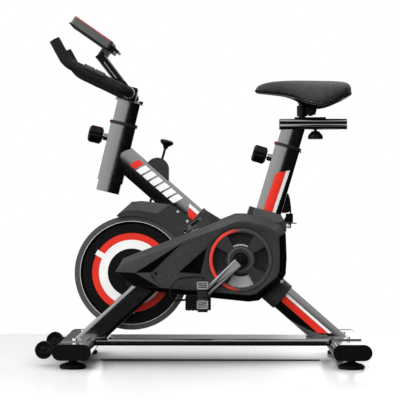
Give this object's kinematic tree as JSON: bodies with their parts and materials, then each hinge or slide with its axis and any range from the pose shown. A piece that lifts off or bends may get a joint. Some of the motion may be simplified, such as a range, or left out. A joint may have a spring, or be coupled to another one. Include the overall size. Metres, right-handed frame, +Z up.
{
  "type": "indoor spin bike",
  "caption": "Stationary spin bike with belt driven flywheel, adjustable saddle and handlebar, console, friction brake, toe cage pedals and levelling feet.",
  "frame": {"origin": "on the floor, at the middle of the machine's footprint", "axes": "+X from the handlebar towards the saddle, +Z up, +Y across towards the side without the belt cover"},
  "size_m": [1.0609, 0.5, 1.1256],
  "materials": {
    "frame_gloss": "gloss black powder coat",
    "cover_plastic": "satin charcoal moulded plastic",
    "black_plastic": "matt black moulded plastic",
    "console_plastic": "satin dark grey plastic",
    "red_plastic": "gloss red plastic",
    "screen": "gloss display window",
    "bush_plastic": "black acetal",
    "steel": "zinc plated",
    "chrome": "polished",
    "crank_metal": "satin forged",
    "flywheel_iron": "painted black with grey rim",
    "belt_rubber": "ribbed",
    "foot_rubber": "matt",
    "grip_foam": "fine textured foam",
    "saddle_cover": "matt synthetic leather",
    "brake_felt": "dense felt"
  },
  "bodies": {
    "root": {"main_frame": "frame_gloss", "front_stabilizer": "frame_gloss", "rear_stabilizer": "frame_gloss", "stabilizer_caps": "black_plastic", "frame_bolts": "steel", "left_cover": "cover_plastic", "left_cover_back": "cover_plastic", "cover_disc": "cover_plastic", "right_cover": "cover_plastic", "tube_collars": "cover_plastic", "cover_screws": "steel", "flywheel_guard": "cover_plastic", "tension_hood": "cover_plastic", "post_bushes": "bush_plastic", "bearings": "steel", "drive_belt": "belt_rubber", "handlebar_spring": "steel", "seat_spring": "steel"},
    "handlebar_assembly": {"handlebar_post": "frame_gloss", "handlebar": "frame_gloss", "handlebar_clamp": "black_plastic", "grips": "grip_foam", "pulse_sensors": "chrome", "console_bracket": "steel", "console_housing": "console_plastic", "console_face": "red_plastic", "console_screen": "screen"},
    "console_key": {"console_button": "steel"},
    "handlebar_pull_pin": {"handlebar_pin": "steel", "handlebar_knob": "black_plastic"},
    "seat_pull_pin": {"seat_pin": "steel", "seat_knob": "black_plastic"},
    "seat_column": {"seat_post": "frame_gloss", "seat_rail": "frame_gloss"},
    "seat_slider": {"seat_carriage": "steel", "saddle_clamp": "black_plastic"},
    "slider_lock": {"slider_knob": "black_plastic"},
    "saddle": {"saddle_rails": "steel", "saddle_shell": "black_plastic", "saddle_cushion": "saddle_cover"},
    "brake": {"brake_rod": "steel", "brake_pad": "brake_felt"},
    "brake_knob": {"tension_knob": "black_plastic"},
    "flywheel_set": {"flywheel": "flywheel_iron", "flywheel_axle": "steel", "small_pulley": "steel"},
    "crank_set": {"crank_axle": "steel", "drive_pulley": "steel", "crank_arms": "crank_metal", "pedal_spindles": "steel"},
    "pedal_left": {"left_pedal": "black_plastic", "left_toe_cage": "black_plastic"},
    "pedal_right": {"right_pedal": "black_plastic", "right_toe_cage": "black_plastic"},
    "wheel_left": {"left_wheel": "foot_rubber"},
    "wheel_right": {"right_wheel": "foot_rubber"},
    "foot_front_left": {"front_left_foot": "foot_rubber"},
    "foot_front_right": {"front_right_foot": "foot_rubber"},
    "foot_rear_left": {"rear_left_foot": "foot_rubber"},
    "foot_rear_right": {"rear_right_foot": "foot_rubber"}
  },
  "joints": [
    {"name": "handlebar_height", "type": "slide", "parent": "root", "child": "handlebar_assembly", "axis": [0.2328, 0, 0.9725], "range_m": [-0.06, 0.12]},
    {"name": "handlebar_pin_pull", "type": "slide", "parent": "root", "child": "handlebar_pull_pin", "axis": [-0.9725, 0, 0.2328], "range_m": [0, 0.01], "stiffness_N_per_m": 2000, "deforming": ["handlebar_spring"]},
    {"name": "console_key_press", "type": "slide", "parent": "handlebar_assembly", "child": "console_key", "axis": [-0.5721, 0, -0.8202], "range_m": [0, 0.0004], "stiffness_N_per_m": 2000},
    {"name": "seat_height", "type": "slide", "parent": "root", "child": "seat_column", "axis": [0.284, 0, 0.9588], "range_m": [-0.03, 0.15]},
    {"name": "seat_pin_pull", "type": "slide", "parent": "root", "child": "seat_pull_pin", "axis": [-0.9588, 0, 0.284], "range_m": [0, 0.01], "stiffness_N_per_m": 2000, "deforming": ["seat_spring"]},
    {"name": "seat_fore_aft", "type": "slide", "parent": "seat_column", "child": "seat_slider", "axis": [1, 0, 0], "range_m": [-0.006, 0.06]},
    {"name": "slider_knob_turn", "type": "hinge", "parent": "seat_slider", "child": "slider_lock", "pos_m": [0.37, 0, 0.74], "axis": [0, 0, 1], "range_deg": [-180, 180]},
    {"name": "saddle_tilt", "type": "hinge", "parent": "seat_slider", "child": "saddle", "pos_m": [0.355, 0, 0.822], "axis": [0, 1, 0], "range_deg": [-8, 8]},
    {"name": "brake_press", "type": "slide", "parent": "root", "child": "brake", "axis": [-0.2672, 0, -0.9636], "range_m": [0, 0.003], "stiffness_N_per_m": 3000},
    {"name": "tension_knob_turn", "type": "hinge", "parent": "brake", "child": "brake_knob", "pos_m": [-0.134, 0, 0.66], "axis": [0.2672, 0, 0.9636], "range_deg": [-360, 360]},
    {"name": "crank_spin", "type": "hinge", "parent": "root", "child": "crank_set", "pos_m": [0.1225, 0, 0.336], "axis": [0, 1, 0], "continuous": true},
    {"name": "flywheel_spin", "type": "hinge", "parent": "root", "child": "flywheel_set", "pos_m": [-0.233, 0, 0.2896], "axis": [0, 1, 0], "continuous": true},
    {"name": "left_pedal_spin", "type": "hinge", "parent": "crank_set", "child": "pedal_left", "pos_m": [-0.00329, -0.186, 0.2187], "axis": [0, 1, 0], "continuous": true},
    {"name": "right_pedal_spin", "type": "hinge", "parent": "crank_set", "child": "pedal_right", "pos_m": [0.24829, 0.186, 0.4533], "axis": [0, 1, 0], "continuous": true},
    {"name": "left_wheel_spin", "type": "hinge", "parent": "root", "child": "wheel_left", "pos_m": [-0.504, -0.145, 0.051], "axis": [0, 1, 0], "continuous": true},
    {"name": "right_wheel_spin", "type": "hinge", "parent": "root", "child": "wheel_right", "pos_m": [-0.504, 0.145, 0.051], "axis": [0, 1, 0], "continuous": true},
    {"name": "front_left_foot_turn", "type": "hinge", "parent": "root", "child": "foot_front_left", "pos_m": [-0.406, -0.2, 0.03], "axis": [0, 0, 1], "range_deg": [-180, 180]},
    {"name": "front_right_foot_turn", "type": "hinge", "parent": "root", "child": "foot_front_right", "pos_m": [-0.406, 0.2, 0.03], "axis": [0, 0, 1], "range_deg": [-180, 180]},
    {"name": "rear_left_foot_turn", "type": "hinge", "parent": "root", "child": "foot_rear_left", "pos_m": [0.468, -0.2, 0.03], "axis": [0, 0, 1], "range_deg": [-180, 180]},
    {"name": "rear_right_foot_turn", "type": "hinge", "parent": "root", "child": "foot_rear_right", "pos_m": [0.468, 0.2, 0.03], "axis": [0, 0, 1], "range_deg": [-180, 180]}
  ],
  "couplings": [
    {"joint": "flywheel_spin", "follows": "crank_spin", "ratio": 5.625}
  ]
}
